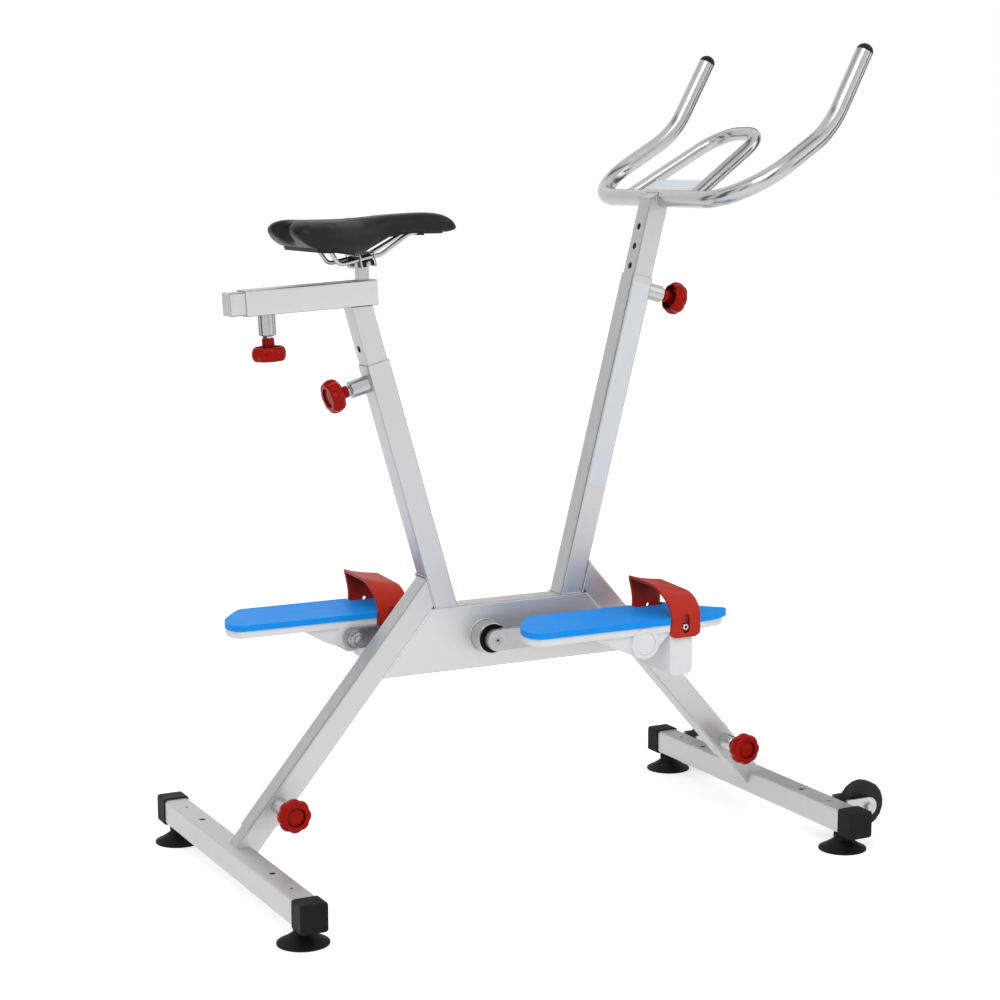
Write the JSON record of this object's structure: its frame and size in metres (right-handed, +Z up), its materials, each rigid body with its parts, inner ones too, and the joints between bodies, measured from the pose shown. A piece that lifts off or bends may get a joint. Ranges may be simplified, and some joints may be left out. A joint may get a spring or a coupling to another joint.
{
  "type": "aqua bike",
  "caption": "Underwater exercise bike: steel frame with telescoping legs, posts and seat slide, long strapped pedals, horned handlebar, suction feet and transport wheels.",
  "frame": {"origin": "on the floor plane below the middle of the bounding box, between the two foot bars", "axes": "+X forward in the riding direction, +Y to the rider's left, +Z up"},
  "size_m": [1.1048, 0.64, 1.3112],
  "materials": {
    "satin_steel": "fine satin stainless steel",
    "polished_steel": "mirror polished stainless steel",
    "bearing_steel": "ground",
    "black_rubber": "matt moulded rubber",
    "wheel_rubber": "matt hard rubber",
    "black_plastic": "fine grained moulding",
    "red_knob": "glossy moulded plastic",
    "white_plastic": "smooth moulded plastic",
    "blue_pad": "soft grained foam rubber",
    "red_strap": "soft moulded rubber",
    "saddle_cover": "grained synthetic leather with a low sheen",
    "label_foil": "bare satin foil"
  },
  "bodies": {
    "frame": {"cross_beam": "satin_steel", "seat_tube": "satin_steel", "handlebar_tube": "satin_steel", "rear_leg_tube": "satin_steel", "front_leg_tube": "satin_steel", "bearing_housing": "polished_steel", "right_bearing": "bearing_steel", "left_bearing": "bearing_steel", "right_shaft_seal": "black_rubber", "left_shaft_seal": "black_rubber"},
    "rear_leg_foot": {"rear_foot": "satin_steel", "rear_right_cap": "black_rubber", "rear_left_cap": "black_rubber", "rear_right_suction_cup": "black_rubber", "rear_left_suction_cup": "black_rubber"},
    "front_leg_foot": {"front_foot": "satin_steel", "front_right_cap": "black_rubber", "front_left_cap": "black_rubber", "front_right_suction_cup": "black_rubber", "front_left_suction_cup": "black_rubber", "right_wheel_bolt": "polished_steel", "left_wheel_bolt": "polished_steel"},
    "right_wheel_body": {"right_wheel": "wheel_rubber"},
    "left_wheel_body": {"left_wheel": "wheel_rubber"},
    "seat_mast": {"seat_post": "satin_steel", "seat_box": "satin_steel"},
    "saddle_slider": {"slide_tube": "satin_steel", "saddle_pillar": "polished_steel"},
    "saddle_head": {"saddle_clamp": "polished_steel", "saddle_clamp_bolt": "polished_steel"},
    "saddle_top": {"saddle_rails": "polished_steel", "saddle_shell": "black_plastic", "saddle_pad": "saddle_cover"},
    "handlebar_mast": {"handlebar_post": "satin_steel", "handlebar": "polished_steel", "handlebar_loop": "polished_steel", "label_plate": "label_foil", "right_bar_plug": "black_plastic", "left_bar_plug": "black_plastic"},
    "crank_set": {"crank_axle": "polished_steel", "right_crank": "satin_steel", "left_crank": "satin_steel", "right_crank_bolt": "polished_steel", "left_crank_bolt": "polished_steel", "right_pedal_spindle": "polished_steel", "left_pedal_spindle": "polished_steel"},
    "right_pedal": {"right_pedal_body": "white_plastic", "right_pedal_hub_cap": "white_plastic", "right_foot_pad": "blue_pad", "right_foot_strap": "red_strap"},
    "left_pedal": {"left_pedal_body": "white_plastic", "left_pedal_hub_cap": "white_plastic", "left_foot_pad": "blue_pad", "left_foot_strap": "red_strap"},
    "seat_tube_clamp": {"seat_tube_knob": "red_knob"},
    "handlebar_tube_clamp": {"handlebar_tube_knob": "red_knob"},
    "rear_leg_clamp": {"rear_leg_knob": "red_knob"},
    "front_leg_clamp": {"front_leg_knob": "red_knob"},
    "seat_slide_clamp": {"seat_slide_knob": "red_knob"}
  },
  "joints": [
    {"name": "rear_leg_slide", "type": "slide", "parent": "frame", "child": "rear_leg_foot", "axis": [-0.6428, 0, -0.766], "range_m": [-0.02, 0.12]},
    {"name": "front_leg_slide", "type": "slide", "parent": "frame", "child": "front_leg_foot", "axis": [0.6561, 0, -0.7547], "range_m": [-0.02, 0.12]},
    {"name": "seat_post_slide", "type": "slide", "parent": "frame", "child": "seat_mast", "axis": [-0.2756, 0, 0.9613], "range_m": [-0.08, 0.1]},
    {"name": "handlebar_post_slide", "type": "slide", "parent": "frame", "child": "handlebar_mast", "axis": [0.2504, 0, 0.9681], "range_m": [-0.1, 0.1]},
    {"name": "seat_slide", "type": "slide", "parent": "seat_mast", "child": "saddle_slider", "axis": [0.9986, 0, 0.0523], "range_m": [-0.1, 0]},
    {"name": "saddle_tilt", "type": "hinge", "parent": "saddle_slider", "child": "saddle_head", "pos_m": [-0.28593, 0, 0.972], "axis": [0, 1, 0], "range_deg": [-12, 12]},
    {"name": "saddle_rail_slide", "type": "slide", "parent": "saddle_head", "child": "saddle_top", "axis": [0.9792, 0, 0.2028], "range_m": [-0.006, 0.02]},
    {"name": "crank_turn", "type": "hinge", "parent": "frame", "child": "crank_set", "pos_m": [-0.08593, 0, 0.36675], "axis": [0, 1, 0], "continuous": true},
    {"name": "right_pedal_turn", "type": "hinge", "parent": "crank_set", "child": "right_pedal", "pos_m": [0.11007, 0, 0.36675], "axis": [0, 1, 0], "continuous": true},
    {"name": "left_pedal_turn", "type": "hinge", "parent": "crank_set", "child": "left_pedal", "pos_m": [-0.28193, 0, 0.36675], "axis": [0, 1, 0], "continuous": true},
    {"name": "right_wheel_turn", "type": "hinge", "parent": "front_leg_foot", "child": "right_wheel_body", "pos_m": [0.51302, 0, 0.057], "axis": [0, 1, 0], "continuous": true},
    {"name": "left_wheel_turn", "type": "hinge", "parent": "front_leg_foot", "child": "left_wheel_body", "pos_m": [0.51302, 0, 0.057], "axis": [0, 1, 0], "continuous": true},
    {"name": "seat_tube_clamp_turn", "type": "hinge", "parent": "frame", "child": "seat_tube_clamp", "pos_m": [-0.27898, 0, 0.784], "axis": [-0.9613, 0, -0.2756], "range_deg": [0, 720]},
    {"name": "handlebar_tube_clamp_turn", "type": "hinge", "parent": "frame", "child": "handlebar_tube_clamp", "pos_m": [0.22442, 0, 0.915], "axis": [0.9681, 0, -0.2504], "range_deg": [0, 720]},
    {"name": "rear_leg_clamp_turn", "type": "hinge", "parent": "frame", "child": "rear_leg_clamp", "pos_m": [-0.44681, -0.02, 0.1295], "axis": [0, -1, 0], "range_deg": [0, 720]},
    {"name": "front_leg_clamp_turn", "type": "hinge", "parent": "frame", "child": "front_leg_clamp", "pos_m": [0.3806, -0.02, 0.131], "axis": [0, -1, 0], "range_deg": [0, 720]},
    {"name": "seat_slide_clamp_turn", "type": "hinge", "parent": "seat_mast", "child": "seat_slide_clamp", "pos_m": [-0.44538, 0, 0.89842], "axis": [0.0523, 0, -0.9986], "range_deg": [0, 720]}
  ]
}
